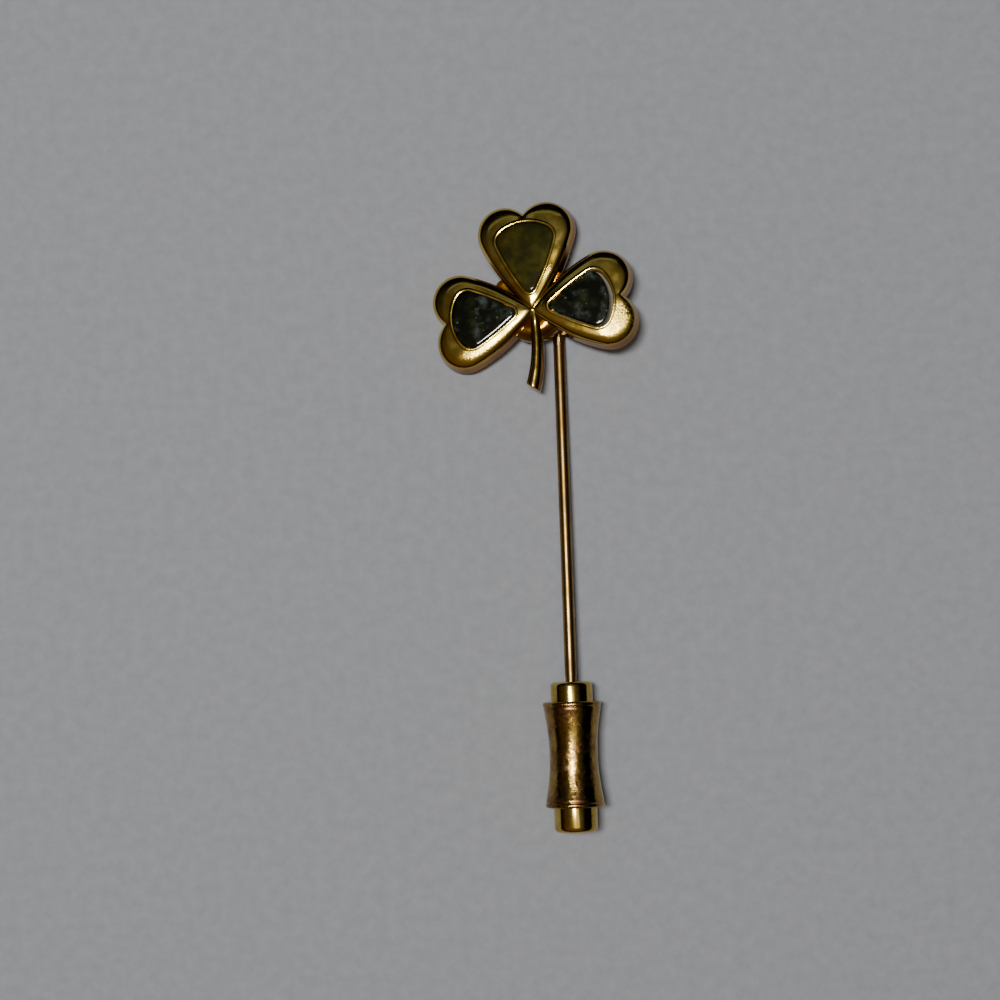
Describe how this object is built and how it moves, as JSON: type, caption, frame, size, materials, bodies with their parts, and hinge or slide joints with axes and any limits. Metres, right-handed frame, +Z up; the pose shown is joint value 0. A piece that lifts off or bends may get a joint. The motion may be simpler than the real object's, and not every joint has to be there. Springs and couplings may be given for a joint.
{
  "type": "shamrock stick pin",
  "caption": "Stick-pin style tie tack: a cast shamrock with inlaid green stones on a long bent pin, held by a waisted barrel clutch that releases when its sleeve is pulled.",
  "frame": {"origin": "bottom centre of the whole pin as it lies face up on a flat surface", "axes": "+Z up off the surface, +Y along the pin from the clutch towards the shamrock, +X to the right of the shamrock seen from its face"},
  "size_m": [0.0208, 0.0634, 0.0065],
  "materials": {
    "gold_casting": "polished gold plate on a brass casting",
    "marble_olive": "polished olive green marble",
    "marble_dark": "polished near-black green marble with grey veins",
    "cement": "cured clear adhesive",
    "solder": "gold-washed solder",
    "gold_wire": "drawn brass wire with worn, browned plating",
    "gold_turned": "turned and plated brass",
    "gold_worn": "worn plating with coppery tarnish spots",
    "hard_steel": "hardened ground steel",
    "spring_steel": "drawn spring steel",
    "nylon": "natural nylon"
  },
  "bodies": {
    "head_pin": {"shamrock_head": "gold_casting", "stone_top": "marble_olive", "stone_left": "marble_dark", "stone_right": "marble_dark", "stone_cement_top": "cement", "stone_cement_left": "cement", "stone_cement_right": "cement", "pin_pad": "gold_casting", "solder_joint": "solder", "pin_wire": "gold_wire"},
    "tip_seat": {"tip_cushion": "nylon"},
    "clutch": {"clutch_core": "gold_turned", "end_cap": "gold_turned", "spring_washer": "spring_steel", "return_spring": "spring_steel"},
    "cam": {"cam_ring": "hard_steel"},
    "sleeve": {"clutch_sleeve": "gold_worn"},
    "ball_1": {"lock_ball_1": "hard_steel"},
    "ball_2": {"lock_ball_2": "hard_steel"},
    "ball_3": {"lock_ball_3": "hard_steel"}
  },
  "joints": [
    {"name": "clutch_slide", "type": "slide", "parent": "head_pin", "child": "tip_seat", "axis": [0, -0.9981, 0.0613], "range_m": [0, 0.02]},
    {"name": "clutch_turn", "type": "hinge", "parent": "tip_seat", "child": "clutch", "pos_m": [0.00237, -0.01675, 0.00282], "axis": [0, -0.9981, 0.0613], "continuous": true},
    {"name": "sleeve_pull", "type": "slide", "parent": "clutch", "child": "cam", "axis": [0, -0.9981, 0.0613], "range_m": [0, 0.0012], "stiffness_N_per_m": 500, "springref_m": -0.002, "deforming": ["return_spring"]},
    {"name": "sleeve_turn", "type": "hinge", "parent": "cam", "child": "sleeve", "pos_m": [0.00237, -0.01675, 0.00282], "axis": [0, -0.9981, 0.0613], "continuous": true},
    {"name": "ball_1_slide", "type": "slide", "parent": "clutch", "child": "ball_1", "axis": [-0.1908, 0.0602, 0.9798], "range_m": [0, 0.0002]},
    {"name": "ball_2_slide", "type": "slide", "parent": "clutch", "child": "ball_2", "axis": [-0.7547, -0.0402, -0.6548], "range_m": [0, 0.0002]},
    {"name": "ball_3_slide", "type": "slide", "parent": "clutch", "child": "ball_3", "axis": [0.9455, -0.02, -0.325], "range_m": [0, 0.0002]}
  ],
  "couplings": [
    {"joint": "ball_1_slide", "follows": "sleeve_pull", "ratio": 0.14},
    {"joint": "ball_2_slide", "follows": "sleeve_pull", "ratio": 0.14},
    {"joint": "ball_3_slide", "follows": "sleeve_pull", "ratio": 0.14}
  ]
}
